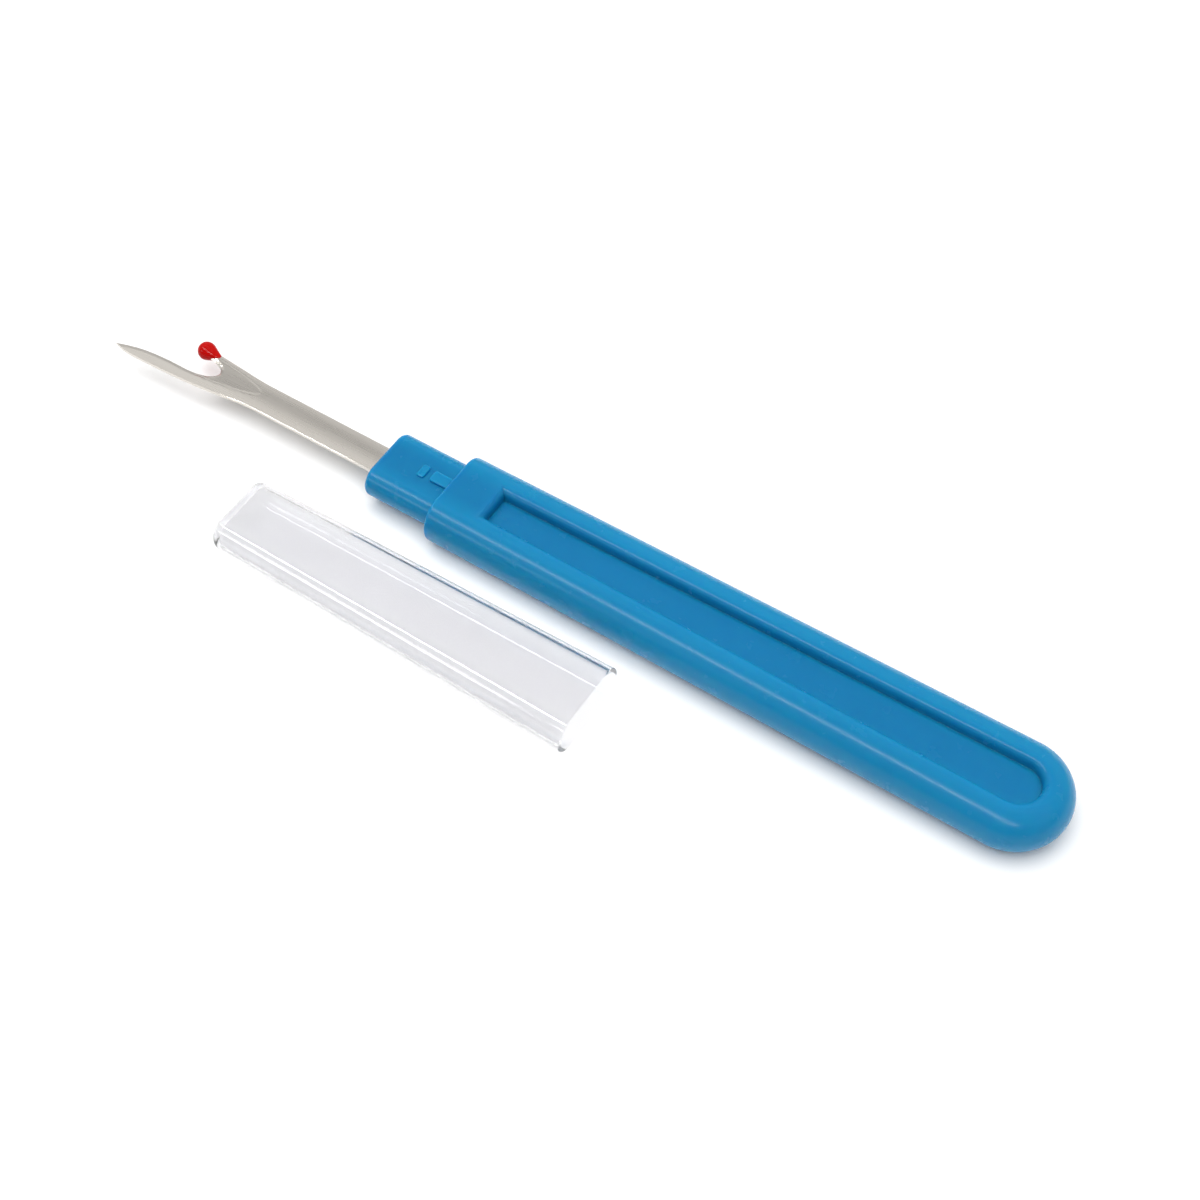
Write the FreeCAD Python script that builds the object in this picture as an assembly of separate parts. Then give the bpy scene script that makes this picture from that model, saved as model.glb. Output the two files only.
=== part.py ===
import FreeCAD, Part
import math
import os

# Seam ripper with a push-on clear cap, in millimetres.
# The tool lies on its back face on z = 0. +X runs to the rear of the grip, -X to the blade's tip, and y = 0 is the
# tool's axis. Stations named "x" are measured from the shoulder, where the cap stops. The origin is on the flat
# land under the front block, ORIGIN_STATION behind the shoulder. The cap lies beside the tool, mouth to the rear.

Vec = FreeCAD.Vector

# Grip
GRIP_LENGTH = 87.4
GRIP_THICKNESS = 7.1
GRIP_HALF_WIDTH_FRONT = 6.53
GRIP_HALF_WIDTH_REAR = 7.32
GRIP_SIDE_FRONT = 3.09
GRIP_SIDE_REAR = 3.36
SHOULDER_EDGE = 0.4
ORIGIN_STATION = 3.0

# Recess, the same in both faces
RECESS_FRONT = 6.7
RECESS_REAR = 83.2
RECESS_DEPTH = 1.7
RECESS_HALF_WIDTH_FRONT = 2.15
RECESS_HALF_WIDTH_REAR = 2.95
RECESS_RIM = 1.05
RECESS_FLOOR_ROUND = 0.08

# Neck, with the stop rib and the dash that grip the cap
NECK_LENGTH = 10.55
NECK_HALF_WIDTH = 5.0
NECK_THICKNESS = 4.8
NECK_SIDE = 2.35
NECK_EDGE = 0.7
RIB_LENGTH = 2.9
RIB_WIDTH = 1.7
RIB_HEIGHT = 0.42
DASH_STATION = -4.3
DASH_LENGTH = 1.1
DASH_WIDTH = 2.0
DASH_HEIGHT = 0.28
DETAIL_EDGE = 0.1

# Blade: strip bent to a shallow arch about the tool's axis
BLADE_THICKNESS = 0.5
BLADE_ARCH_RADIUS = 15.0
SHANK_HALF_WIDTH = 2.13
SHANK_START = -31.2
TIP = (-53.5, -2.92)
TINE_OUTER = [(-51.6, -3.33), (-47.6, -3.33), (-43.6, -3.2), (-39.6, -2.95), (-35.6, -2.55), (-33.2, -2.27)]
FORK_INNER = [(-51.4, -2.35), (-49.2, -1.90), (-45.6, -1.60), (-41.4, -1.50), (-39.4, -1.10), (-38.35, -0.45),
              (-38.05, 0.10), (-38.45, 0.85), (-39.5, 1.42)]
PRONG_END = [(-41.0, 1.78), (-42.1, 2.05), (-42.35, 2.45), (-42.0, 2.85), (-41.0, 2.92)]
PRONG_OUTER = [(-38.6, 2.72), (-35.6, 2.47), (-33.2, 2.24)]
BEVEL_START = (-54.5, -3.3)
BEVEL_END = (-41.25, 1.83)
BEVEL_WIDTH = 0.42
BEVEL_DEPTH = 0.34
BEVEL_OVERLAP = 0.1
BEVEL_CUT_HEIGHT = 1.0
SCOOP_LENGTH = 7.4
SCOOP_HALF_WIDTH = 1.75
SCOOP_CENTRE = (-38.6, 0.33)
SCOOP_DEPTH = 0.16
SCOOP_RAISE = 0.5
TANG_END = 5.2
TANG_NOTCH_DEPTH = 0.6
TANG_NOTCH_LENGTH = 1.6
TANG_NOTCH_STATION = 1.2

# Safety ball on the short prong
BALL_RADIUS = 1.28
BALL_CENTRE = (-42.2, 2.62)
BALL_TAIL = 2.35
BALL_TAIL_RADIUS = 0.38
BALL_LEAVE = math.radians(50)
BALL_FLOW = (1.45, 0.6)
BALL_TILT = -7.0

# Clear cap
CAP_MOUTH = (32.0, -17.2)
CAP_YAW = -0.75
CAP_LENGTH = 54.2
CAP_WALL = 0.65
CAP_END_WALL = 1.0
CAP_MOUTH_SIZE = (6.36, 6.25, 2.97)
CAP_END_SIZE = (5.45, 5.4, 2.39)
CAP_END_EDGE = 1.2
CAP_INNER_EDGE = 0.6

MIDDLE = GRIP_THICKNESS / 2
REAR_CENTRE = GRIP_LENGTH - GRIP_HALF_WIDTH_REAR
RECESS_CENTRE = RECESS_REAR - RECESS_HALF_WIDTH_REAR
PAST = 2.0
OVERLAP = 0.6
TOUCH = 1e-6


def edge(*points):
    """Straight edge between two points."""
    return Part.makeLine(*[Vec(*p) for p in points])


def half_ellipse(x, centre, side, middle, half_height):
    """Half ellipse in a plane of constant x, from its top round the side (+ or - along y) to its bottom."""
    ellipse = Part.Ellipse(Vec(x, centre, middle + half_height), Vec(x, centre + side, middle), Vec(x, centre, middle))
    return Part.ArcOfEllipse(ellipse, 0, math.pi).toShape()


def oblong(x, half_width, thickness, side, middle):
    """Cross-section with flat faces and elliptical sides, at station x."""
    half = thickness / 2
    flat = half_width - side
    right = half_ellipse(x, flat, side, middle, half)
    left = half_ellipse(x, -flat, -side, middle, half)
    top = edge((x, -flat, middle + half), (x, flat, middle + half))
    bottom = edge((x, flat, middle - half), (x, -flat, middle - half))
    return Part.Wire([top, right, bottom, left])


def prism(sections):
    """Solid through two cross-sections of the same form."""
    return Part.makeLoft(sections, True, True)


def edges_at(shape, x):
    """Edges that lie in the plane of station x."""
    return [e for e in shape.Edges if max(abs(v.X - x) for v in e.Vertexes) < TOUCH]


def grip_side(sign):
    """Rounded side of the grip, from the flat middle outwards."""
    sections = []
    for x, half_width, side in ((0, GRIP_HALF_WIDTH_FRONT, GRIP_SIDE_FRONT),
                                (REAR_CENTRE, GRIP_HALF_WIDTH_REAR, GRIP_SIDE_REAR)):
        flat = sign * (half_width - side)
        chord = edge((x, flat, 0), (x, flat, GRIP_THICKNESS))
        sections.append(Part.Wire([half_ellipse(x, flat, sign * side, MIDDLE, MIDDLE), chord]))
    return prism(sections)


def grip_body():
    """Tapered oblong grip with a round end."""
    front = GRIP_HALF_WIDTH_FRONT - GRIP_SIDE_FRONT
    rear = GRIP_HALF_WIDTH_REAR - GRIP_SIDE_REAR
    corners = [Vec(0, -front, 0), Vec(REAR_CENTRE, -rear, 0), Vec(REAR_CENTRE, rear, 0), Vec(0, front, 0)]
    plate = Part.Face(Part.makePolygon(corners + corners[:1])).extrude(Vec(0, 0, GRIP_THICKNESS))
    body = plate.fuse([grip_side(1), grip_side(-1)]).removeSplitter()
    half = Part.Wire([
        edge((REAR_CENTRE, 0, GRIP_THICKNESS), (REAR_CENTRE, rear, GRIP_THICKNESS)),
        half_ellipse(REAR_CENTRE, rear, GRIP_SIDE_REAR, MIDDLE, MIDDLE),
        edge((REAR_CENTRE, rear, 0), (REAR_CENTRE, 0, 0)),
        edge((REAR_CENTRE, 0, 0), (REAR_CENTRE, 0, GRIP_THICKNESS)),
    ])
    end = Part.Face(half).revolve(Vec(REAR_CENTRE, 0, 0), Vec(0, 0, 1), -180)
    body = body.makeFillet(SHOULDER_EDGE, edges_at(body, 0))
    return body.fuse(end).removeSplitter()


def recess_profile(half_width):
    """Points of one side of the recess's section as (outward, z) pairs: floor round, wall, rim round."""
    floor = GRIP_THICKNESS - RECESS_DEPTH
    bend = math.sqrt(0.5)
    low = [(half_width - RECESS_FLOOR_ROUND, floor),
           (half_width - RECESS_FLOOR_ROUND * (1 - bend), floor + RECESS_FLOOR_ROUND * (1 - bend)),
           (half_width, floor + RECESS_FLOOR_ROUND)]
    rim = GRIP_THICKNESS - RECESS_RIM
    high = [(half_width, rim),
            (half_width + RECESS_RIM * (1 - bend), rim + RECESS_RIM * bend),
            (half_width + RECESS_RIM, GRIP_THICKNESS)]
    return low, high


def recess_half(x, half_width, sign):
    """Edges of one side of the trough's section at station x, from the floor up and past the face."""
    low, high = recess_profile(half_width)
    low = [Vec(x, sign * y, z) for y, z in low]
    high = [Vec(x, sign * y, z) for y, z in high]
    above = Vec(x, high[2].y, GRIP_THICKNESS + PAST)
    return [Part.Arc(*low).toShape(), Part.makeLine(low[2], high[0]), Part.Arc(*high).toShape(),
            Part.makeLine(high[2], above)]


def trough_section(x, half_width):
    """Closed section of the recess across the tool."""
    right = recess_half(x, half_width, 1)
    left = recess_half(x, half_width, -1)
    floor = Part.makeLine(left[0].Vertexes[0].Point, right[0].Vertexes[0].Point)
    lid = Part.makeLine(right[3].Vertexes[1].Point, left[3].Vertexes[1].Point)
    return Part.Wire(Part.__sortEdges__([floor] + right + [lid] + left))


def recess_end():
    """Round rear end of the recess."""
    right = recess_half(RECESS_CENTRE, RECESS_HALF_WIDTH_REAR, 1)
    floor = right[0].Vertexes[0].Point
    lid = right[3].Vertexes[1].Point
    axis_low = Vec(RECESS_CENTRE, 0, floor.z)
    axis_high = Vec(RECESS_CENTRE, 0, lid.z)
    wire = Part.Wire([Part.makeLine(axis_low, floor)] + right
                     + [Part.makeLine(lid, axis_high), Part.makeLine(axis_high, axis_low)])
    return Part.Face(wire).revolve(Vec(RECESS_CENTRE, 0, 0), Vec(0, 0, 1), -180)


def front_limit():
    """Block that ends the recess at its square front wall, with the same rim and floor rounds as the sides."""
    low, high = recess_profile(0)
    side = GRIP_HALF_WIDTH_REAR + PAST
    low = [Vec(RECESS_FRONT - y, -side, z) for y, z in low]
    high = [Vec(RECESS_FRONT - y, -side, z) for y, z in high]
    above = Vec(high[2].x, -side, GRIP_THICKNESS + PAST)
    far_above = Vec(GRIP_LENGTH, -side, GRIP_THICKNESS + PAST)
    far_floor = Vec(GRIP_LENGTH, -side, low[0].z)
    wire = Part.Wire([Part.Arc(*low).toShape(), Part.makeLine(low[2], high[0]), Part.Arc(*high).toShape(),
                      Part.makeLine(high[2], above), Part.makeLine(above, far_above),
                      Part.makeLine(far_above, far_floor), Part.makeLine(far_floor, low[0])])
    return Part.Face(wire).extrude(Vec(0, 2 * side, 0))


def recess():
    """Cutter for the recess in the top face."""
    slope = (RECESS_HALF_WIDTH_REAR - RECESS_HALF_WIDTH_FRONT) / (RECESS_CENTRE - RECESS_FRONT)
    start = RECESS_FRONT - PAST
    front = trough_section(start, RECESS_HALF_WIDTH_FRONT - slope * PAST)
    rear = trough_section(RECESS_CENTRE, RECESS_HALF_WIDTH_REAR)
    trough = prism([front, rear]).fuse(recess_end()).removeSplitter()
    return trough.common(front_limit())


def neck():
    """Flat oblong neck that carries the cap."""
    front = oblong(-NECK_LENGTH, NECK_HALF_WIDTH, NECK_THICKNESS, NECK_SIDE, MIDDLE)
    rear = oblong(OVERLAP, NECK_HALF_WIDTH, NECK_THICKNESS, NECK_SIDE, MIDDLE)
    body = prism([front, rear])
    return body.makeFillet(NECK_EDGE, edges_at(body, -NECK_LENGTH))


def raised_bar(x0, x1, width, height):
    """Low bar with rounded top edges on the neck's top face."""
    top = MIDDLE + NECK_THICKNESS / 2
    bar = Part.makeBox(x1 - x0, width, height + OVERLAP, Vec(x0, -width / 2, top - OVERLAP))
    upper = [e for e in bar.Edges if min(v.Z for v in e.Vertexes) > top + height - TOUCH]
    return bar.makeFillet(DETAIL_EDGE, upper)


def handle(blade_solid):
    """Whole blue moulding, with the slot that the blade's tang fills."""
    upper = recess()
    lower = upper.mirror(Vec(0, 0, MIDDLE), Vec(0, 0, 1))
    rib = raised_bar(-RIB_LENGTH, OVERLAP, RIB_WIDTH, RIB_HEIGHT)
    dash = raised_bar(DASH_STATION - DASH_LENGTH / 2, DASH_STATION + DASH_LENGTH / 2, DASH_WIDTH, DASH_HEIGHT)
    body = grip_body().cut(upper).cut(lower)
    body = body.fuse([neck(), rib, dash]).removeSplitter()
    return largest(body.cut(blade_solid))


def spline(points):
    """Smooth edge through the points in the plane z = 0."""
    curve = Part.BSplineCurve()
    curve.interpolate([Vec(x, y, 0) for x, y in points])
    return curve.toShape()


def polyline(points):
    """Straight edges through the points in the plane z = 0."""
    return [edge((*a, 0), (*b, 0)) for a, b in zip(points, points[1:])]


def tang_side(sign):
    """Points of one side of the tang, from the shank to its rear end, with its locking notch."""
    wide = sign * SHANK_HALF_WIDTH
    narrow = sign * (SHANK_HALF_WIDTH - TANG_NOTCH_DEPTH)
    start = TANG_NOTCH_STATION
    stop = TANG_NOTCH_STATION + TANG_NOTCH_LENGTH
    return [(SHANK_START, wide), (start, wide), (start, narrow), (stop, narrow), (stop, wide), (TANG_END, wide)]


def blade_outline():
    """Closed outline of the strip, seen from above."""
    near = tang_side(-1)
    far = tang_side(1)
    edges = [spline([TIP] + FORK_INNER + PRONG_END[:1]), spline(PRONG_END),
             spline(PRONG_END[-1:] + PRONG_OUTER + far[:1])]
    edges += polyline(far + near[::-1])
    edges.append(spline(near[:1] + TINE_OUTER[::-1] + [TIP]))
    return Part.Wire(edges)


def arch(radius):
    """Cylinder along the tool's axis, its seam turned underneath so that no face of the blade is split."""
    axis = Vec(TIP[0] - PAST, 0, MIDDLE - BLADE_ARCH_RADIUS)
    rod = Part.makeCylinder(radius, TANG_END - TIP[0] + 2 * PAST, axis, Vec(1, 0, 0))
    rod.rotate(axis, Vec(1, 0, 0), 180)
    return rod


def shifted(points, amount):
    """The same points moved away from the fork's gap, each along its own normal."""
    moved = []
    for i, (x, y) in enumerate(points):
        before = points[max(i - 1, 0)]
        after = points[min(i + 1, len(points) - 1)]
        dx = after[0] - before[0]
        dy = after[1] - before[1]
        size = math.hypot(dx, dy)
        moved.append((x + amount * dy / size, y - amount * dx / size))
    return moved


def face_height(y):
    """Height of the blade's arched top face, y from its axis."""
    radius = BLADE_ARCH_RADIUS + BLADE_THICKNESS / 2
    return MIDDLE - BLADE_ARCH_RADIUS + math.sqrt(radius ** 2 - y ** 2)


def bevel():
    """Cutter for the ground edge round the inside of the fork: the sharp side of the tine, throat and prong."""
    line = [BEVEL_START, TIP] + FORK_INNER + [BEVEL_END]
    rise = BEVEL_OVERLAP * BEVEL_DEPTH / BEVEL_WIDTH
    sharp_side = shifted(line, -BEVEL_OVERLAP)
    face_side = shifted(line, BEVEL_WIDTH + BEVEL_OVERLAP)
    sections = []
    for sharp, face in zip(sharp_side, face_side):
        low = Vec(*sharp, face_height(sharp[1]) - BEVEL_DEPTH - rise)
        high = Vec(*face, face_height(face[1]) + rise)
        above = Vec(*sharp, face_height(sharp[1]) + BEVEL_CUT_HEIGHT)
        sections.append(Part.makePolygon([low, high, above, low]))
    return Part.makeLoft(sections, True, True)


def scoop():
    """Cutter for the shallow hollow behind the throat: an ellipsoid whose centre is raised above the face."""
    top = MIDDLE + BLADE_THICKNESS / 2
    half_height = SCOOP_DEPTH / (1 - SCOOP_RAISE)
    spread = 1 / math.sqrt(1 - SCOOP_RAISE ** 2)
    matrix = FreeCAD.Matrix()
    matrix.scale(SCOOP_LENGTH * spread, SCOOP_HALF_WIDTH * spread, half_height)
    hollow = Part.makeSphere(1.0).transformGeometry(matrix)
    hollow.translate(Vec(*SCOOP_CENTRE, top + SCOOP_RAISE * half_height))
    return hollow


def largest(shape):
    """The main solid of a cut shape."""
    return max(shape.Solids, key=lambda solid: solid.Volume)


def blade():
    """Stamped, arched and ground steel strip."""
    plate = Part.Face(blade_outline()).extrude(Vec(0, 0, GRIP_THICKNESS))
    outer = arch(BLADE_ARCH_RADIUS + BLADE_THICKNESS / 2)
    inner = arch(BLADE_ARCH_RADIUS - BLADE_THICKNESS / 2)
    strip = plate.common(outer).cut(inner)
    return largest(strip.cut(scoop()).cut(bevel()))


def safety_ball(blade_solid):
    """Bead with a short tapered tail along the prong, round the prong's end."""
    r = BALL_RADIUS
    leave = Vec(r * math.cos(BALL_LEAVE), r * math.sin(BALL_LEAVE), 0)
    tail = Vec(BALL_TAIL, BALL_TAIL_RADIUS, 0)
    flow = Part.BSplineCurve()
    flow.interpolate([leave, Vec(*BALL_FLOW, 0), tail])
    wire = Part.Wire([
        Part.Arc(Vec(-r, 0, 0), Vec(0, r, 0), leave).toShape(),
        flow.toShape(),
        edge((BALL_TAIL, BALL_TAIL_RADIUS, 0), (BALL_TAIL, 0, 0)),
        edge((BALL_TAIL, 0, 0), (-r, 0, 0)),
    ])
    bead = Part.Face(wire).revolve(Vec(0, 0, 0), Vec(1, 0, 0), 360)
    bead.rotate(Vec(0, 0, 0), Vec(0, 0, 1), BALL_TILT)
    drop = BLADE_ARCH_RADIUS - math.sqrt(BLADE_ARCH_RADIUS ** 2 - BALL_CENTRE[1] ** 2)
    bead.translate(Vec(*BALL_CENTRE, MIDDLE - drop))
    return largest(bead.cut(blade_solid))


def cap_shell(mouth, end, length, end_edge, lift):
    """Drafted oblong tube, closed and rounded at its far end, standing lift above the table."""
    open_section = oblong(0, *mouth, lift + mouth[1] / 2)
    end_section = oblong(-length, *end, lift + end[1] / 2)
    body = prism([open_section, end_section])
    return body.makeFillet(end_edge, edges_at(body, -length))


def clear_cap():
    """Transparent cap beside the tool, resting on the table with its mouth to the rear."""
    outer = cap_shell(CAP_MOUTH_SIZE, CAP_END_SIZE, CAP_LENGTH, CAP_END_EDGE, 0)
    inner_mouth = (CAP_MOUTH_SIZE[0] - CAP_WALL, CAP_MOUTH_SIZE[1] - 2 * CAP_WALL, CAP_MOUTH_SIZE[2] - CAP_WALL)
    inner_end = (CAP_END_SIZE[0] - CAP_WALL, CAP_END_SIZE[1] - 2 * CAP_WALL, CAP_END_SIZE[2] - CAP_WALL)
    hollow = cap_shell(inner_mouth, inner_end, CAP_LENGTH - CAP_END_WALL, CAP_INNER_EDGE, CAP_WALL)
    cap = largest(outer.cut(hollow))
    cap.rotate(Vec(0, 0, 0), Vec(0, 0, 1), CAP_YAW)
    cap.translate(Vec(*CAP_MOUTH, 0))
    return cap


def write(name, shape):
    """Saves one node with the origin on the front block's land."""
    shape.translate(Vec(-ORIGIN_STATION, 0, 0))
    print(name, shape.ShapeType, len(shape.Solids), shape.isValid(), round(shape.Volume, 2), shape.BoundBox)
    shape.exportStep("parts/" + name + ".step")


os.makedirs("parts", exist_ok=True)
blade_solid = blade()
write("handle", handle(blade_solid))
write("safety_ball", safety_ball(blade_solid))
write("clear_cap", clear_cap())
write("blade", blade_solid)
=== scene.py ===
import math

import bmesh
import bpy
from mathutils import Matrix, Vector
from mathutils.geometry import delaunay_2d_cdt


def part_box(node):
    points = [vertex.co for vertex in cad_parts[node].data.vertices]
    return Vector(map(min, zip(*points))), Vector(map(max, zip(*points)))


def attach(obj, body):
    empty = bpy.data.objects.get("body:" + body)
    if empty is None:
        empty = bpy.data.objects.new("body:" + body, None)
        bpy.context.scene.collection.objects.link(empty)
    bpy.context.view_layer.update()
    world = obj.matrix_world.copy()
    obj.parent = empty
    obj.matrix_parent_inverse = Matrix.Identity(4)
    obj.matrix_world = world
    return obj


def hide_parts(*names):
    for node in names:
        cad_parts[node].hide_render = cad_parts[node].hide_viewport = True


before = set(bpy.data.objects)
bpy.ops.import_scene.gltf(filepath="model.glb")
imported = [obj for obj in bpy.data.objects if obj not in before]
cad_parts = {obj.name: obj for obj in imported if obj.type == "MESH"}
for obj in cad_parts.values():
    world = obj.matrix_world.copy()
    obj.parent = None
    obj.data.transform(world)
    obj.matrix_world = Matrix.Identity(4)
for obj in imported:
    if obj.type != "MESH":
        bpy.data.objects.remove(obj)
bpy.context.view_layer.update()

# Seam ripper with its clear cap beside it. Meshes are made in millimetres in the part's own frame: the tool lies
# along X with its blade towards -X and its underside at z = 0. Stations along the tool are measured from the
# shoulder that stops the cap.

MM = 0.001

HANDLE_LOW, HANDLE_HIGH = [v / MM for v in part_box("handle")]
CAP_LOW, CAP_HIGH = [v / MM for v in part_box("clear_cap")]

# Grip
GRIP_LENGTH = 87.4
SHOULDER = HANDLE_HIGH.x - GRIP_LENGTH
THICKNESS = HANDLE_HIGH.z
MIDDLE = THICKNESS / 2
GRIP_HALF_REAR = HANDLE_HIGH.y
GRIP_HALF_FRONT = 6.53
GRIP_SIDE_FRONT = 3.09
GRIP_SIDE_REAR = 3.36
SHOULDER_ROUND = 0.4
GRIP_RINGS = 40
REAR_CENTRE = GRIP_LENGTH - GRIP_HALF_REAR

# Recess in both faces
RECESS_FRONT = 6.7
RECESS_REAR = 83.2
RECESS_DEPTH = 1.7
RECESS_HALF_FRONT = 2.15
RECESS_HALF_REAR = 2.95
RECESS_RIM = 1.05
RECESS_FLOOR_ROUND = 0.08
CUT_PAST = 1.0
RECESS_CENTRE = RECESS_REAR - RECESS_HALF_REAR

# Neck
NECK_LENGTH = SHOULDER - HANDLE_LOW.x
NECK_HALF = 5.0
NECK_THICKNESS = 4.8
NECK_SIDE = 2.35
NECK_ROUND = 0.7
NECK_SINK = 1.0

# Raised bars on the neck: start, end, width, height
RIB = (-2.9, 0.6, 1.7, 0.42)
DASH = (-4.85, -3.75, 2.0, 0.28)
BAR_EDGE = 0.2
BAR_CORNER = 0.3
BAR_SINK = 0.4

# Blade
BLADE_THICKNESS = 0.5
ARCH_RADIUS = 15.0
SHANK_HALF = 2.13
SHANK_START = -31.2
SHANK_STATIONS = (-20.0, -10.0)
BLADE_ROOT = 4.0
TIP = (-53.47, -2.92)
TINE_OUTER = [(-51.6, -3.33), (-47.6, -3.33), (-43.6, -3.2), (-39.6, -2.95), (-35.6, -2.55), (-33.2, -2.27)]
FORK_INNER = [(-51.4, -2.35), (-49.2, -1.90), (-45.6, -1.60), (-41.4, -1.50), (-39.4, -1.10), (-38.35, -0.45),
              (-38.05, 0.10), (-38.45, 0.85), (-39.5, 1.42)]
PRONG_END = [(-41.0, 1.78), (-42.1, 2.05), (-42.35, 2.45), (-42.0, 2.85), (-41.0, 2.92)]
PRONG_OUTER = [(-38.6, 2.72), (-35.6, 2.47), (-33.2, 2.24)]
BEVEL_WIDTH = 0.5
BEVEL_DEPTH_TINE = 0.19
BEVEL_DEPTH_PRONG = 0.36
BEVEL_CHANGE = (-0.5, 1.0)

# Face ground at a shallow angle behind the throat, with a fine groove round its border
FLAT_START = -31.4
FLAT_SLOPE = 0.0147
FLAT_TILT = -0.0205
FLAT_RUN = 9.4
FLAT_HOLLOW = 1.5
GROOVE_HALF = 0.08
GROOVE_DEPTH = 0.022

# Chamfer along the blade's near edge, fading out towards the fork
EDGE_WIDTH = 0.05
EDGE_SLOPE = 0.455
EDGE_FADE = (-39.0, -32.0)

# Triangles of the blade's plan: spacing along its lines and of the grid between them
LINE_STEP = 0.22
LINE_BREAK = 3 * LINE_STEP
GRID_ALONG_FORK = 0.3
GRID_ALONG_SHANK = 1.2
GRID_CHANGE = SHANK_START - 0.1
GRID_ACROSS = 0.25
GRID_SIDES = (-3.5, 3.2)
GRID_CLEAR_EDGE = 0.09
GRID_CLEAR_LINE = 0.12
LINE_CLEAR_EDGE = 0.03
ON_LINE = 0.004
SAME_POINT = 1e-6

# Safety ball
BALL_RADIUS = 1.28
BALL_CENTRE = (-42.2, 2.62)
BALL_TILT = math.radians(-7.0)
BALL_TAIL = 2.35
BALL_TAIL_RADIUS = 0.38
BALL_TAIL_SHIFT = 0.14
BALL_LEAVE = math.radians(66)
BALL_FLOW = (1.4, 0.78)
BALL_TAIL_END = [(0.12, 0.6), (0.15, 0.0)]      # past the tail's end, share of its radius
BALL_STEP = 0.08
BALL_ARC_STEPS = 40
BALL_SIDES = 64

# Clear cap; its sizes are half-width, height and the side curve's reach
CAP_YAW = math.radians(-0.75)
CAP_LENGTH = 54.2
CAP_WALL = 0.65
CAP_END_WALL = 1.0
CAP_MOUTH_SIZE = (6.36, 6.25, 2.97)
CAP_END_SIZE = (5.45, 5.4, 2.39)
CAP_END_ROUND = 1.2
CAP_INNER_ROUND = 0.6
CAP_LIP_ROUND = 0.12
CAP_RINGS = 24

# Mesh density and shading
SIDE_STEPS = 40
TURN_STEPS = 96
ROUND_STEPS = 8
CREASE = math.radians(28)
MERGE = 1e-5

# Texture scale that makes one unit a millimetre
PER_MM = (1 / MM, 1 / MM, 1 / MM)

# Painted shade: a strip of deeper blue along the handle's middle, darkening the recess floors and the neck's top;
# where it fades out across, at the rear, at the shoulder and up the bars
SHADE_SIDES = (1.4, 3.6)
SHADE_REAR = (-3.0, 2.0)
SHADE_FRONT = 0.1
SHADE_BAR_RISE = (0.05, 0.3)

# Camera, floor and studio; the panels are (place across the studio, brightness)
LOOK_AT = Vector((20.23, -1.03, 0)) * MM
CAMERA_AZIMUTH = math.radians(32.951)
CAMERA_ELEVATION = math.radians(54.992)
CAMERA_DISTANCE = 0.28
CAMERA_LENS = 66.67
CAMERA_SENSOR = 36.0
FLOOR_SIZE = 3000
FLOOR_GAP = 0.02
WORLD_STRENGTH = 1.25
HORIZON_DIM = 0.55
HORIZON_FADE = (0.2, 0.6)
BAND_TILT = math.radians(35.7)
PANELS = [(0.0, 0.42), (0.20, 0.42), (0.33, 0.84), (0.38, 0.84), (0.50, 0.28), (0.60, 0.9), (0.63, 0.85), (0.70, 0.6),
          (1.0, 0.5)]


# ---------------------------------------------------------------- mesh helpers

def between(a, b, t):
    """Value a fraction t of the way from a to b."""
    return a + (b - a) * t


def skin(bm, rings, closed=True):
    """Quads between each ring of points and the next; returns the first and last rings' vertices."""
    rows = [[bm.verts.new(p) for p in ring] for ring in rings]
    for a, b in zip(rows, rows[1:]):
        for i in range(len(a) if closed else len(a) - 1):
            j = (i + 1) % len(a)
            bm.faces.new((a[i], a[j], b[j], b[i]))
    return rows[0], rows[-1]


def tube(rings):
    """Closed mesh skinned over rings of points, with its first and last rings filled in."""
    bm = bmesh.new()
    first, last = skin(bm, rings)
    bm.faces.new(first)
    bm.faces.new(last)
    return bm


def half_profile(half_width, thickness, side, inset=0.0):
    """Points (outward, up from mid-height) of an oblong section, from its top middle round to its bottom middle."""
    half = thickness / 2
    points = [(0.0, half - inset)]
    for i in range(SIDE_STEPS + 1):
        turn = math.pi / 2 - math.pi * i / SIDE_STEPS
        out = math.cos(turn)
        up = math.sin(turn)
        normal = Vector((out / side, up / half)).normalized()
        points.append((half_width - side + side * out - inset * normal.x, half * up - inset * normal.y))
    points.append((0.0, inset - half))
    return points


def whole_ring(x, profile, middle):
    """Closed ring across the tool at station x from one side's profile."""
    right = [(x, y, middle + z) for y, z in profile]
    left = [(x, -y, middle + z) for y, z in reversed(profile[1:-1])]
    return right + left


def round_steps(radius, start=0):
    """Pairs (along, inset) round a quarter circle, from the end face out to the full section."""
    turns = [math.pi / 2 * i / ROUND_STEPS for i in range(start, ROUND_STEPS + 1)]
    return [(radius * (1 - math.cos(a)), radius * (1 - math.sin(a))) for a in turns]


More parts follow.
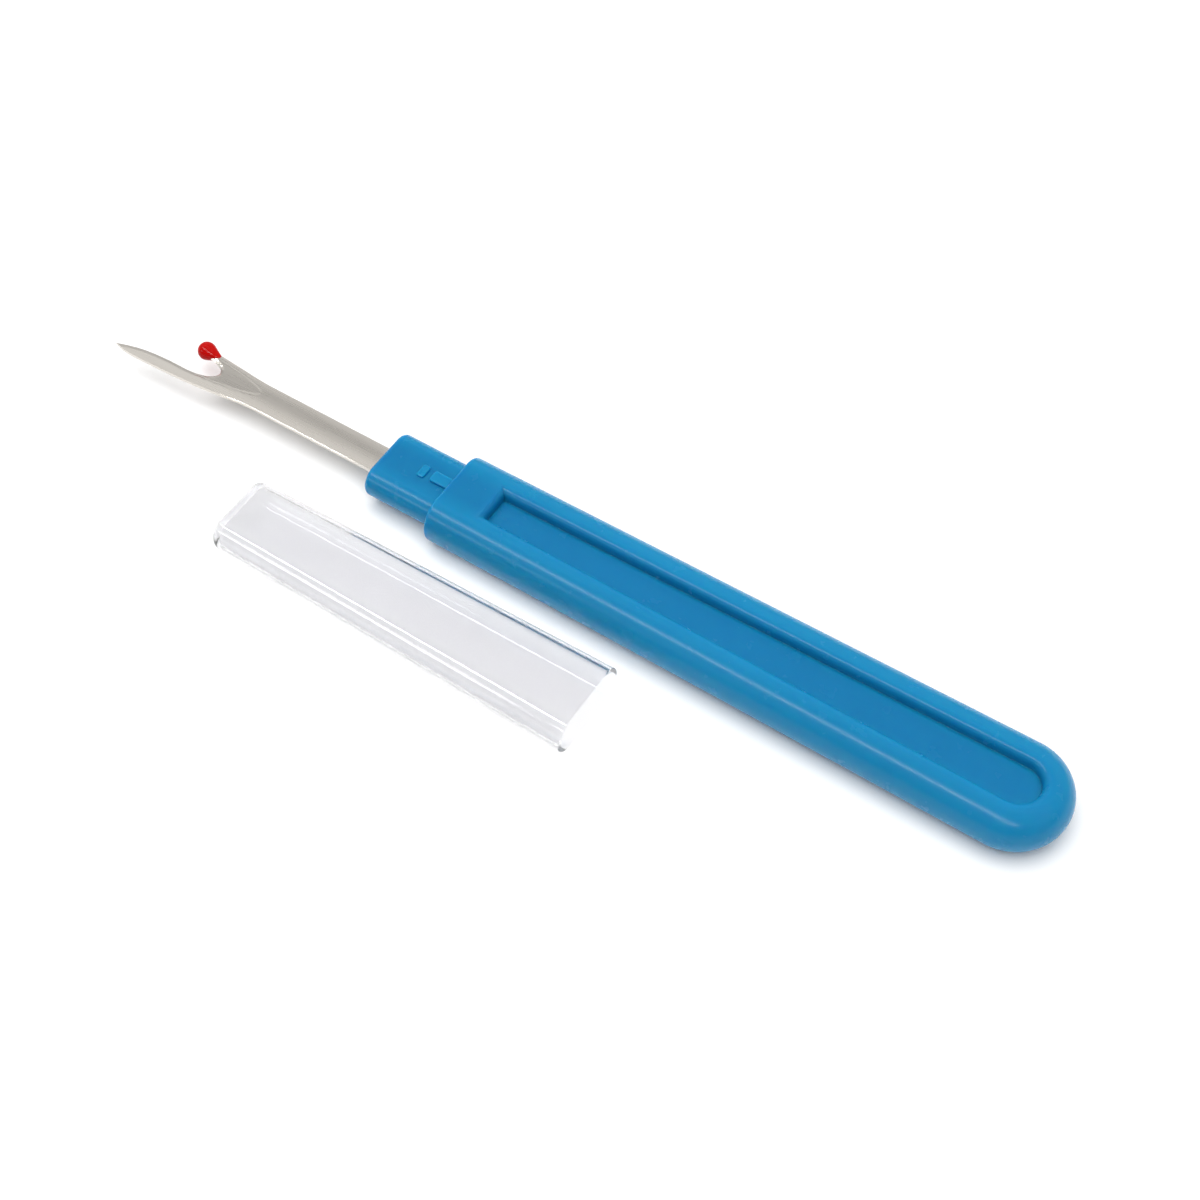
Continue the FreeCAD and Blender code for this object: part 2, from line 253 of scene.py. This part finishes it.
def smooth_line(points, step):
    """Points about one step apart on a smooth curve through the given ones."""
    pts = [Vector(p) for p in points]
    pts = [2 * pts[0] - pts[1]] + pts + [2 * pts[-1] - pts[-2]]
    line = []
    for p0, p1, p2, p3 in zip(pts, pts[1:], pts[2:], pts[3:]):
        t1 = (p1 - p0).length ** 0.5
        t2 = t1 + (p2 - p1).length ** 0.5
        t3 = t2 + (p3 - p2).length ** 0.5
        count = max(1, round((p2 - p1).length / step))
        for i in range(count):
            t = between(t1, t2, i / count)
            a1 = p0 * (1 - t / t1) + p1 * (t / t1)
            a2 = p1 * ((t2 - t) / (t2 - t1)) + p2 * ((t - t1) / (t2 - t1))
            a3 = p2 * ((t3 - t) / (t3 - t2)) + p3 * ((t - t2) / (t3 - t2))
            b1 = a1 * ((t2 - t) / t2) + a2 * (t / t2)
            b2 = a2 * ((t3 - t) / (t3 - t1)) + a3 * ((t - t1) / (t3 - t1))
            line.append(b1 * ((t2 - t) / (t2 - t1)) + b2 * ((t - t1) / (t2 - t1)))
    return line + [pts[-2]]


def make_object(name, bm, shift=(0, 0, 0)):
    """Object from a bmesh in millimetres, with its normals outward."""
    bmesh.ops.remove_doubles(bm, verts=bm.verts, dist=MERGE)
    bmesh.ops.translate(bm, vec=shift, verts=bm.verts)
    bmesh.ops.scale(bm, vec=(MM, MM, MM), verts=bm.verts)
    bmesh.ops.recalc_face_normals(bm, faces=bm.faces)
    mesh = bpy.data.meshes.new(name)
    bm.to_mesh(mesh)
    bm.free()
    obj = bpy.data.objects.new(name, mesh)
    bpy.context.scene.collection.objects.link(obj)
    return obj


def carve(obj, tool, operation):
    """Joins tool to obj, or cuts it away, and drops the tool."""
    modifier = obj.modifiers.new("carve", "BOOLEAN")
    modifier.operation = operation
    modifier.solver = "EXACT"
    modifier.object = tool
    result = bpy.data.meshes.new_from_object(obj.evaluated_get(bpy.context.evaluated_depsgraph_get()))
    obj.modifiers.remove(modifier)
    obj.data = result
    bpy.data.objects.remove(tool)


def finish_piece(obj, node, material):
    """Smooth shading and material for a piece that stands for a node; the node's CAD part is hidden."""
    obj.data.materials.clear()
    obj.data.materials.append(material)
    obj.data.shade_smooth()
    obj.data.set_sharp_from_angle(angle=CREASE)
    weighted = obj.modifiers.new("weighted", "WEIGHTED_NORMAL")
    weighted.keep_sharp = True
    weighted.weight = 90
    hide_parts(node)


# ---------------------------------------------------------------- handle

def grip_mesh():
    """Tapered oblong grip with a rounded shoulder and a round rear end."""
    bm = bmesh.new()

    def profile(x, inset):
        t = x / REAR_CENTRE
        half_width = between(GRIP_HALF_FRONT, GRIP_HALF_REAR, t)
        return half_profile(half_width, THICKNESS, between(GRIP_SIDE_FRONT, GRIP_SIDE_REAR, t), inset)

    rings = [whole_ring(x, profile(x, inset), MIDDLE) for x, inset in round_steps(SHOULDER_ROUND)]
    stations = [REAR_CENTRE * i / GRIP_RINGS for i in range(1, GRIP_RINGS + 1)]
    rings += [whole_ring(x, profile(x, 0), MIDDLE) for x in stations]
    front, _ = skin(bm, rings)
    bm.faces.new(front)
    rear = profile(REAR_CENTRE, 0)
    turns = []
    for i in range(TURN_STEPS + 1):
        turn = math.pi * i / TURN_STEPS
        turns.append([(REAR_CENTRE + y * math.sin(turn), y * math.cos(turn), MIDDLE + z) for y, z in rear])
    skin(bm, turns, closed=False)
    return bm


def recess_levels():
    """(outward, height) pairs up the recess's side: floor round, wall, rim round and on past the face."""
    turns = [math.pi / 2 * i / ROUND_STEPS for i in range(ROUND_STEPS + 1)]
    floor = THICKNESS - RECESS_DEPTH
    rim = THICKNESS - RECESS_RIM
    low = [(RECESS_FLOOR_ROUND * (math.sin(a) - 1), floor + RECESS_FLOOR_ROUND * (1 - math.cos(a))) for a in turns]
    high = [(RECESS_RIM * (1 - math.cos(a)), rim + RECESS_RIM * math.sin(a)) for a in turns]
    return low + high + [(RECESS_RIM, THICKNESS + CUT_PAST)]


def recess_mesh(mirrored):
    """Cutter for the recess: square at the front, round at the rear, with a rounded rim and floor."""
    slope = (RECESS_HALF_REAR - RECESS_HALF_FRONT) / (RECESS_CENTRE - RECESS_FRONT)
    rings = []
    for out, height in recess_levels():
        z = THICKNESS - height if mirrored else height
        front = RECESS_FRONT - out
        half_front = RECESS_HALF_FRONT + out - slope * out
        half_rear = RECESS_HALF_REAR + out
        ring = [(front, half_front, z)]
        for i in range(TURN_STEPS + 1):
            turn = math.pi * i / TURN_STEPS
            ring.append((RECESS_CENTRE + half_rear * math.sin(turn), half_rear * math.cos(turn), z))
        ring.append((front, -half_front, z))
        rings.append(ring)
    return tube(rings)


def neck_mesh():
    """Flat oblong neck with a rounded free end."""
    rings = [whole_ring(x - NECK_LENGTH, half_profile(NECK_HALF, NECK_THICKNESS, NECK_SIDE, inset), MIDDLE)
             for x, inset in round_steps(NECK_ROUND)]
    rings.append(whole_ring(NECK_SINK, half_profile(NECK_HALF, NECK_THICKNESS, NECK_SIDE), MIDDLE))
    return tube(rings)


def bar_mesh(start, end, width, height):
    """Low bar on the neck's top face, with its upper edges rounded."""
    low = MIDDLE + NECK_THICKNESS / 2
    high = low + height

    def ring(inset, z):
        points = []
        reach = BAR_CORNER - inset
        side = width / 2 - BAR_CORNER
        corners = [(end - BAR_CORNER, side), (start + BAR_CORNER, side),
                   (start + BAR_CORNER, -side), (end - BAR_CORNER, -side)]
        for i, (x, y) in enumerate(corners):
            for j in range(ROUND_STEPS + 1):
                turn = math.pi / 2 * (i + j / ROUND_STEPS)
                points.append((x + reach * math.cos(turn), y + reach * math.sin(turn), z))
        return points

    rings = [ring(0, low - BAR_SINK), ring(0, high - BAR_EDGE)]
    rings += [ring(inset, high - along) for along, inset in reversed(round_steps(BAR_EDGE, 1))]
    rings += [ring(BAR_EDGE, high)]
    return tube(rings)


def build_handle(material):
    """One moulding: grip with a recess in each face, neck, stop rib and dash."""
    shift = (SHOULDER, 0, 0)
    obj = make_object("handle_moulding", grip_mesh(), shift)
    for mirrored in (False, True):
        carve(obj, make_object("recess_cutter", recess_mesh(mirrored), shift), "DIFFERENCE")
    carve(obj, make_object("neck_block", neck_mesh(), shift), "UNION")
    for bar in (RIB, DASH):
        carve(obj, make_object("bar_block", bar_mesh(*bar), shift), "UNION")
    finish_piece(obj, "handle", material)


# ---------------------------------------------------------------- blade

def arch_height(y, radius):
    """Height of the strip's arched surface of this radius, y from the tool's axis."""
    return MIDDLE - ARCH_RADIUS + math.sqrt(radius ** 2 - y ** 2)


def nearest(point, line):
    """Distance from a point to a polyline."""
    best = 1e9
    for a, b in zip(line, line[1:]):
        ab = b - a
        t = max(0.0, min(1.0, (point - a).dot(ab) / ab.length_squared))
        best = min(best, (a + ab * t - point).length)
    return best


def inside(point, loop):
    """True if the point is inside the closed outline."""
    odd = False
    for a, b in zip(loop, loop[1:] + loop[:1]):
        if (a.y > point.y) != (b.y > point.y):
            if point.x < a.x + (point.y - a.y) * (b.x - a.x) / (b.y - a.y):
                odd = not odd
    return odd


def offset_line(line, amount):
    """The line moved sideways, each point along its own normal."""
    moved = []
    for i, p in enumerate(line):
        along = (line[min(i + 1, len(line) - 1)] - line[max(i - 1, 0)]).normalized()
        moved.append(p + amount * Vector((along.y, -along.x)))
    return moved


def fraction(value, ends):
    """How far a value is from the first of two ends to the second, held between 0 and 1."""
    return max(0.0, min(1.0, (value - ends[0]) / (ends[1] - ends[0])))


def flat_outline():
    """Curve where the face ground at a shallow angle behind the throat meets the arched face."""
    radius = ARCH_RADIUS + BLADE_THICKNESS / 2
    middle = -radius * FLAT_TILT
    reach = math.sqrt(2 * radius * FLAT_SLOPE * FLAT_RUN)
    count = round(2 * reach / LINE_STEP)
    line = []
    for i in range(count + 1):
        side = between(reach, -reach, i / count)
        line.append(Vector((FLAT_START + (middle ** 2 - side ** 2) / (2 * radius * FLAT_SLOPE), middle + side)))
    return smooth_line(line, LINE_STEP)


def blade_outline():
    """Closed outline of the blade's plan, with the fork and the near edge, which are parts of it."""
    fork = smooth_line([TIP] + FORK_INNER + PRONG_END[:1], LINE_STEP)
    prong_end = smooth_line(PRONG_END, LINE_STEP)
    prong = smooth_line(PRONG_END[-1:] + PRONG_OUTER + [(SHANK_START, SHANK_HALF)], LINE_STEP)
    far_edge = [Vector((x, SHANK_HALF)) for x in (*SHANK_STATIONS, BLADE_ROOT)]
    near_edge = [Vector((x, -SHANK_HALF)) for x in (BLADE_ROOT, *reversed(SHANK_STATIONS))]
    near_edge += smooth_line([(SHANK_START, -SHANK_HALF)] + TINE_OUTER[::-1] + [TIP], LINE_STEP)
    outline = fork[:-1] + prong_end[:-1] + prong + far_edge + near_edge[:-1]
    return outline, fork, near_edge


def blade_top(p, fork, flat, near_edge):
    """Height of the top face: the arch, less the fork's bevel or the ground face, the groove and the chamfer."""
    top = arch_height(p.y, ARCH_RADIUS + BLADE_THICKNESS / 2)
    depth = between(BEVEL_DEPTH_TINE, BEVEL_DEPTH_PRONG, fraction(p.y, BEVEL_CHANGE))
    bevel = depth * max(0.0, 1 - nearest(p, fork) / BEVEL_WIDTH)
    run = min(FLAT_START - p.x, FLAT_RUN)
    sunk = top - (MIDDLE + BLADE_THICKNESS / 2 - FLAT_SLOPE * run + FLAT_TILT * p.y)
    drop = max(bevel, sunk * FLAT_HOLLOW)
    drop += GROOVE_DEPTH * max(0.0, 1 - nearest(p, flat) / GROOVE_HALF)
    drop += EDGE_SLOPE * fraction(p.x, EDGE_FADE) * max(0.0, EDGE_WIDTH - nearest(p, near_edge))
    return top - drop


def grid_points(outline, marks):
    """Points in rows across the blade, clear of its outline and, on the fork, of the points already marked."""
    loop = outline + outline[:1]
    found = []
    x = TIP[0]
    while x < BLADE_ROOT:
        on_fork = x < GRID_CHANGE
        y = GRID_SIDES[0]
        while y < GRID_SIDES[1]:
            p = Vector((x, y))
            if inside(p, outline) and nearest(p, loop) > GRID_CLEAR_EDGE:
                if not on_fork or min((p - q).length for q in marks) > GRID_CLEAR_LINE:
                    found.append(p)
            y += GRID_ACROSS
        x += GRID_ALONG_FORK if on_fork else GRID_ALONG_SHANK
    return found


def triangulate(outline, lines):
    """Triangles over the outline that keep to the lines, each given with the widest gap that it is joined across."""
    loop = outline + outline[:1]
    points = list(outline)
    edges = [(i, (i + 1) % len(outline)) for i in range(len(outline))]
    for line, widest in lines:
        kept = [p for p in line if inside(p, outline) and nearest(p, loop) > LINE_CLEAR_EDGE]
        start = len(points)
        points += kept
        edges += [(start + i, start + i + 1) for i in range(len(kept) - 1)
                  if (kept[i + 1] - kept[i]).length < widest]
    points += grid_points(outline, points)
    verts, _, faces, _, _, _ = delaunay_2d_cdt(points, edges, [], 1, SAME_POINT)
    centres = [sum((verts[i] for i in face), Vector((0, 0))) / len(face) for face in faces]
    return verts, [face for face, centre in zip(faces, centres) if inside(centre, outline)]


def blade_mesh():
    """Stamped strip on an arch, with the fork and the ground faces worked into its top; also its crease lines."""
    outline, fork, near_edge = blade_outline()
    bevel_line = offset_line(fork, BEVEL_WIDTH)
    near_line = offset_line(near_edge, EDGE_WIDTH)
    flat = flat_outline()
    lines = [(bevel_line, LINE_BREAK), (flat, LINE_BREAK), (near_line, math.inf)]
    lines += [(offset_line(flat, side), LINE_BREAK) for side in (GROOVE_HALF, -GROOVE_HALF)]
    verts, faces = triangulate(outline, lines)
    bm = bmesh.new()
    top = [bm.verts.new((p.x, p.y, blade_top(p, fork, flat, near_edge))) for p in verts]
    bottom = [bm.verts.new((p.x, p.y, arch_height(p.y, ARCH_RADIUS - BLADE_THICKNESS / 2))) for p in verts]
    for face in faces:
        bm.faces.new([top[i] for i in face])
        bm.faces.new([bottom[i] for i in reversed(face)])
    twin = dict(zip(top, bottom))
    for e in [e for e in bm.edges if e.is_boundary and e.verts[0] in twin]:
        a, b = e.verts
        bm.faces.new((a, b, twin[b], twin[a]))
    bmesh.ops.delete(bm, geom=[v for v in bm.verts if not v.link_faces], context="VERTS")
    return bm, (bevel_line, flat, near_line)


def build_blade(material):
    """Forked steel blade; its root ends inside the neck. The ground faces keep crisp borders."""
    bm, creases = blade_mesh()
    obj = make_object("forked_blade", bm, (SHOULDER, 0, 0))
    finish_piece(obj, "blade", material)
    plan = [Vector((v.co.x / MM - SHOULDER, v.co.y / MM)) for v in obj.data.vertices]
    for line in creases:
        on_line = [nearest(p, line) < ON_LINE for p in plan]
        for e in obj.data.edges:
            if on_line[e.vertices[0]] and on_line[e.vertices[1]]:
                e.use_edge_sharp = True


# ---------------------------------------------------------------- safety ball

def build_ball(material):
    """Bead dipped onto the short prong, drawn out into a short tail along it."""
    bm = bmesh.new()
    profile = []
    for i in range(BALL_ARC_STEPS + 1):
        turn = math.pi - (math.pi - BALL_LEAVE) * i / BALL_ARC_STEPS
        profile.append((BALL_RADIUS * math.cos(turn), BALL_RADIUS * math.sin(turn)))
    curve = smooth_line([profile[-2], profile[-1], BALL_FLOW, (BALL_TAIL, BALL_TAIL_RADIUS)], BALL_STEP)
    profile += [(p.x, p.y) for p in curve[3:]]
    profile += [(BALL_TAIL + past, BALL_TAIL_RADIUS * share) for past, share in BALL_TAIL_END]
    turns = [math.tau * i / BALL_SIDES for i in range(BALL_SIDES)]
    rings = []
    for along, radius in profile:
        shift = BALL_TAIL_SHIFT * max(0.0, along) / BALL_TAIL
        rings.append([(along, shift + radius * math.cos(turn), radius * math.sin(turn)) for turn in turns])
    skin(bm, rings)
    height = arch_height(BALL_CENTRE[1], ARCH_RADIUS)
    place = Matrix.Translation((*BALL_CENTRE, height)) @ Matrix.Rotation(BALL_TILT, 4, "Z")
    bmesh.ops.transform(bm, matrix=place, verts=bm.verts)
    obj = make_object("safety_bead", bm, (SHOULDER, 0, 0))
    finish_piece(obj, "safety_ball", material)


# ---------------------------------------------------------------- clear cap

def cap_profile(x, wall, inset):
    """Profile and mid-height of the cap's outer skin (wall 0) or inner skin at x from the mouth."""
    t = -x / CAP_LENGTH
    half_width, thickness, side = (between(m, e, t) for m, e in zip(CAP_MOUTH_SIZE, CAP_END_SIZE))
    profile = half_profile(half_width - wall, thickness - 2 * wall, side - wall, inset)
    return profile, thickness / 2


def cap_mesh():
    """Drafted tube with a closed end, a rounded outer end edge and a softly rounded lip."""
    def ring(x, wall, inset):
        profile, middle = cap_profile(x, wall, inset)
        return whole_ring(x, profile, middle)

    rings = [ring(x - CAP_LENGTH, 0, inset) for x, inset in round_steps(CAP_END_ROUND)]
    for i in range(1, CAP_RINGS):
        rings.append(ring(between(CAP_END_ROUND - CAP_LENGTH, -CAP_LIP_ROUND, i / CAP_RINGS), 0, 0))
    lip = round_steps(CAP_LIP_ROUND)
    rings += [ring(-x, 0, inset) for x, inset in reversed(lip)]
    rings += [ring(-x, CAP_WALL, -inset) for x, inset in lip]
    inner_end = CAP_END_WALL - CAP_LENGTH
    for i in range(CAP_RINGS - 1, 0, -1):
        rings.append(ring(between(inner_end + CAP_INNER_ROUND, -CAP_LIP_ROUND, i / CAP_RINGS), CAP_WALL, 0))
    rings += [ring(inner_end + x, CAP_WALL, inset) for x, inset in reversed(round_steps(CAP_INNER_ROUND))]
    return tube(rings)


def build_cap(material):
    """Cap lying beside the tool with its mouth to the rear."""
    bm = cap_mesh()
    bmesh.ops.rotate(bm, matrix=Matrix.Rotation(CAP_YAW, 3, "Z"), verts=bm.verts)
    half = CAP_MOUTH_SIZE[0]
    mouth = (CAP_HIGH.x + half * math.sin(CAP_YAW), CAP_LOW.y + half * math.cos(CAP_YAW), 0)
    obj = make_object("clear_push_on_cap", bm, mouth)
    finish_piece(obj, "clear_cap", material)


# ---------------------------------------------------------------- materials

def new_material(name):
    """Node material with a Principled shader; returns the material, its nodes and links."""
    material = bpy.data.materials.new(name)
    material.use_nodes = True
    return material, material.node_tree.nodes, material.node_tree.links


def texture_space(nodes, links, scale):
    """Object coordinates scaled so that one unit is one over scale metres."""
    coordinates = nodes.new("ShaderNodeTexCoord")
    mapping = nodes.new("ShaderNodeMapping")
    mapping.inputs["Scale"].default_value = scale
    links.new(coordinates.outputs["Object"], mapping.inputs["Vector"])
    return mapping.outputs["Vector"]


def noise(nodes, links, vector, scale, detail=3.0):
    """Noise texture's factor."""
    node = nodes.new("ShaderNodeTexNoise")
    node.inputs["Scale"].default_value = scale
    node.inputs["Detail"].default_value = detail
    links.new(vector, node.inputs["Vector"])
    return node.outputs["Fac"]


def remap(nodes, links, value, low, high, from_low=0.3, from_high=0.7):
    """Value mapped linearly from one range onto another."""
    node = nodes.new("ShaderNodeMapRange")
    node.inputs["From Min"].default_value = from_low
    node.inputs["From Max"].default_value = from_high
    node.inputs["To Min"].default_value = low
    node.inputs["To Max"].default_value = high
    links.new(value, node.inputs["Value"])
    return node.outputs["Result"]


def blend_colour(nodes, links, factor, low, high):
    """Colour between two by a factor."""
    node = nodes.new("ShaderNodeMix")
    node.data_type = "RGBA"
    node.inputs["A"].default_value = (*low, 1)
    node.inputs["B"].default_value = (*high, 1)
    links.new(factor, node.inputs["Factor"])
    return node.outputs["Result"]


def add_bump(nodes, links, shader, height, distance):
    """Full-strength bump from a height, distance in metres."""
    node = nodes.new("ShaderNodeBump")
    node.inputs["Strength"].default_value = 1.0
    node.inputs["Distance"].default_value = distance
    links.new(height, node.inputs["Height"])
    links.new(node.outputs["Normal"], shader.inputs["Normal"])


def multiply(nodes, links, first, second):
    """Product of two values."""
    node = nodes.new("ShaderNodeMath")
    node.operation = "MULTIPLY"
    links.new(first, node.inputs[0])
    links.new(second, node.inputs[1])
    return node.outputs["Value"]


def painted_shade_mask(nodes, links):
    """Mask for painted shade: 1 along the middle of the handle, over the recess floors and the neck's top; 0
    elsewhere and on the raised bars.
    """
    axes = nodes.new("ShaderNodeSeparateXYZ")
    links.new(nodes.new("ShaderNodeTexCoord").outputs["Object"], axes.inputs[0])
    away = nodes.new("ShaderNodeMath")
    away.operation = "ABSOLUTE"
    links.new(axes.outputs["Y"], away.inputs[0])
    rear = MM * (SHOULDER + RECESS_REAR)
    neck_top = MM * (MIDDLE + NECK_THICKNESS / 2)
    sides = [MM * v for v in SHADE_SIDES]
    ends = [rear + MM * v for v in SHADE_REAR]
    rise = [neck_top + MM * v for v in SHADE_BAR_RISE]
    across = remap(nodes, links, away.outputs["Value"], 1, 0, *sides)
    along = remap(nodes, links, axes.outputs["X"], 1, 0, *ends)
    before = remap(nodes, links, axes.outputs["X"], 1, 0, SHOULDER * MM, (SHOULDER + SHADE_FRONT) * MM)
    raised = remap(nodes, links, axes.outputs["Z"], 0, 1, *rise)
    bars = nodes.new("ShaderNodeMath")
    bars.operation = "SUBTRACT"
    bars.inputs[0].default_value = 1.0
    links.new(multiply(nodes, links, before, raised), bars.inputs[1])
    return multiply(nodes, links, multiply(nodes, links, across, along), bars.outputs["Value"])


def blue_plastic():
    """Smooth injection moulding: faint colour drift, soft uneven gloss, light that scatters below the skin, and
    painted shade along the handle's middle.
    """
    material, nodes, links = new_material("blue_moulded_plastic")
    shader = nodes["Principled BSDF"]
    space = texture_space(nodes, links, PER_MM)
    drift = remap(nodes, links, noise(nodes, links, space, 0.08), 0, 1)
    colour = blend_colour(nodes, links, drift, (0.004, 0.206, 0.396), (0.005, 0.216, 0.412))
    # Painted shade: the colour is multiplied towards a deeper blue along the handle's middle, over the recess floors
    # and the neck's top
    painted_shade_mix = nodes.new("ShaderNodeMix")
    painted_shade_mix.data_type = "RGBA"
    painted_shade_mix.blend_type = "MULTIPLY"
    painted_shade_mix.inputs["B"].default_value = (0.8, 0.8, 0.89, 1)
    links.new(colour, painted_shade_mix.inputs["A"])
    links.new(painted_shade_mask(nodes, links), painted_shade_mix.inputs["Factor"])
    shader.inputs["Specular IOR Level"].default_value = 0.19
    shader.inputs["Subsurface Weight"].default_value = 1.0
    shader.inputs["Subsurface Radius"].default_value = (0.3, 1.2, 2.0)
    shader.inputs["Subsurface Scale"].default_value = 0.001
    links.new(painted_shade_mix.outputs["Result"], shader.inputs["Base Color"])
    links.new(remap(nodes, links, noise(nodes, links, space, 0.5), 0.23, 0.28), shader.inputs["Roughness"])
    return material


def brushed_steel():
    """Satin stamped steel with fine marks along the strip."""
    material, nodes, links = new_material("satin_steel")
    shader = nodes["Principled BSDF"]
    shader.inputs["Metallic"].default_value = 1.0
    along = texture_space(nodes, links, (120, 3500, 3500))
    marks = noise(nodes, links, along, 1.0, 4.0)
    colour = blend_colour(nodes, links, remap(nodes, links, marks, 0, 1), (0.63, 0.597, 0.547), (0.65, 0.617, 0.57))
    links.new(colour, shader.inputs["Base Color"])
    links.new(remap(nodes, links, marks, 0.26, 0.30), shader.inputs["Roughness"])
    add_bump(nodes, links, shader, marks, 0.0000004)
    return material


def red_plastic():
    """Glossy dipped bead."""
    material, nodes, links = new_material("red_bead_plastic")
    shader = nodes["Principled BSDF"]
    shader.inputs["Specular IOR Level"].default_value = 0.13
    space = texture_space(nodes, links, PER_MM)
    drift = remap(nodes, links, noise(nodes, links, space, 0.9), 0, 1)
    links.new(blend_colour(nodes, links, drift, (0.40, 0.0015, 0.0005), (0.45, 0.002, 0.0008)),
              shader.inputs["Base Color"])
    links.new(remap(nodes, links, noise(nodes, links, space, 2.0), 0.07, 0.11), shader.inputs["Roughness"])
    add_bump(nodes, links, shader, noise(nodes, links, space, 1.2, 2.0), 0.00001)
    return material


def clear_plastic():
    """Clear moulded plastic under a glossy coat; it bends light little and lets lamp light through to the floor."""
    material, nodes, links = new_material("clear_moulded_plastic")
    shader = nodes["Principled BSDF"]
    shader.inputs["Base Color"].default_value = (0.8, 0.8, 0.813, 1)
    shader.inputs["Transmission Weight"].default_value = 0.98
    shader.inputs["IOR"].default_value = 1.15
    shader.inputs["Coat Weight"].default_value = 1.0
    shader.inputs["Coat Roughness"].default_value = 0.1
    space = texture_space(nodes, links, PER_MM)
    links.new(remap(nodes, links, noise(nodes, links, space, 0.4), 0.01, 0.03), shader.inputs["Roughness"])
    clear = nodes.new("ShaderNodeBsdfTransparent")
    clear.inputs["Color"].default_value = (0.99, 0.99, 0.99, 1)
    path = nodes.new("ShaderNodeLightPath")
    mix = nodes.new("ShaderNodeMixShader")
    links.new(path.outputs["Is Shadow Ray"], mix.inputs["Fac"])
    links.new(shader.outputs["BSDF"], mix.inputs[1])
    links.new(clear.outputs["BSDF"], mix.inputs[2])
    links.new(mix.outputs["Shader"], nodes["Material Output"].inputs["Surface"])
    return material


# ---------------------------------------------------------------- stage

def make_floor():
    """Plain white table, wide enough to fill the view."""
    bm = bmesh.new()
    bmesh.ops.create_grid(bm, x_segments=1, y_segments=1, size=FLOOR_SIZE)
    floor = make_object("floor", bm, (0, 0, -FLOOR_GAP))
    material, nodes, _ = new_material("white_table")
    shader = nodes["Principled BSDF"]
    shader.inputs["Base Color"].default_value = (0.9, 0.9, 0.9, 1)
    shader.inputs["Roughness"].default_value = 0.9
    shader.inputs["Specular IOR Level"].default_value = 0.0
    floor.data.materials.append(material)


def make_lamp(name, direction, distance, size, power, diffuse=True, glossy=True):
    """Area lamp aimed at the tool's middle from a direction, sizes in metres."""
    data = bpy.data.lights.new(name, "AREA")
    data.shape = "RECTANGLE"
    data.size, data.size_y = size
    data.energy = power
    lamp = bpy.data.objects.new(name, data)
    towards = Vector(direction).normalized()
    lamp.location = LOOK_AT + towards * distance
    lamp.rotation_euler = towards.to_track_quat("Z", "Y").to_euler()
    lamp.visible_diffuse = diffuse
    lamp.visible_glossy = glossy
    lamp.visible_transmission = glossy
    bpy.context.scene.collection.objects.link(lamp)


def make_world():
    """White studio overhead, dimmer towards the horizon and in bands where its panels end."""
    world = bpy.data.worlds.new("studio")
    world.use_nodes = True
    nodes = world.node_tree.nodes
    links = world.node_tree.links
    direction = nodes.new("ShaderNodeTexCoord").outputs["Generated"]
    across = nodes.new("ShaderNodeVectorMath")
    across.operation = "DOT_PRODUCT"
    across.inputs[1].default_value = (0, math.cos(BAND_TILT), -math.sin(BAND_TILT))
    links.new(direction, across.inputs[0])
    place = remap(nodes, links, across.outputs["Value"], 0, 1, -1, 1)
    panels = nodes.new("ShaderNodeValToRGB")
    panels.color_ramp.interpolation = "EASE"
    stops = panels.color_ramp.elements
    stops[0].position, stops[1].position = PANELS[0][0], PANELS[-1][0]
    for position, _ in PANELS[1:-1]:
        stops.new(position)
    for stop, (_, level) in zip(stops, PANELS):
        stop.color = (level, level, level, 1)
    links.new(place, panels.inputs["Fac"])
    axes = nodes.new("ShaderNodeSeparateXYZ")
    links.new(direction, axes.inputs[0])
    total = nodes.new("ShaderNodeMath")
    total.operation = "MULTIPLY"
    links.new(panels.outputs["Color"], total.inputs[0])
    low = WORLD_STRENGTH * HORIZON_DIM
    links.new(remap(nodes, links, axes.outputs["Z"], low, WORLD_STRENGTH, *HORIZON_FADE), total.inputs[1])
    links.new(total.outputs["Value"], nodes["Background"].inputs["Strength"])
    nodes["Background"].inputs["Color"].default_value = (1, 1, 1, 1)
    bpy.context.scene.world = world


def make_camera():
    """Camera looking down at the tool from its near side."""
    level = math.cos(CAMERA_ELEVATION)
    back = Vector((math.sin(CAMERA_AZIMUTH) * level, -math.cos(CAMERA_AZIMUTH) * level,
                   math.sin(CAMERA_ELEVATION)))
    data = bpy.data.cameras.new("camera")
    data.lens = CAMERA_LENS
    data.sensor_width = CAMERA_SENSOR
    data.clip_start = 0.01
    camera = bpy.data.objects.new("camera", data)
    camera.location = LOOK_AT + back * CAMERA_DISTANCE
    camera.rotation_euler = back.to_track_quat("Z", "Y").to_euler()
    bpy.context.scene.collection.objects.link(camera)
    bpy.context.scene.camera = camera


build_handle(blue_plastic())
build_blade(brushed_steel())
build_ball(red_plastic())
build_cap(clear_plastic())
for piece, body in (("handle_moulding", "tool"), ("forked_blade", "tool"), ("safety_bead", "tool"),
                    ("clear_push_on_cap", "cap")):
    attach(bpy.data.objects[piece], body)

make_floor()
make_camera()
make_world()
make_lamp("overhead", (-0.1, -0.05, 1.0), 1.2, (1.5, 1.5), 17.5, glossy=False)
make_lamp("strip_high", (-0.15, -0.50, 0.85), 0.9, (1.5, 0.08), 7.0, diffuse=False)
make_lamp("strip_low", (-0.50, -0.80, 0.40), 0.9, (0.25, 0.10), 0.7, diffuse=False)

bpy.context.scene.view_settings.view_transform = "Standard"
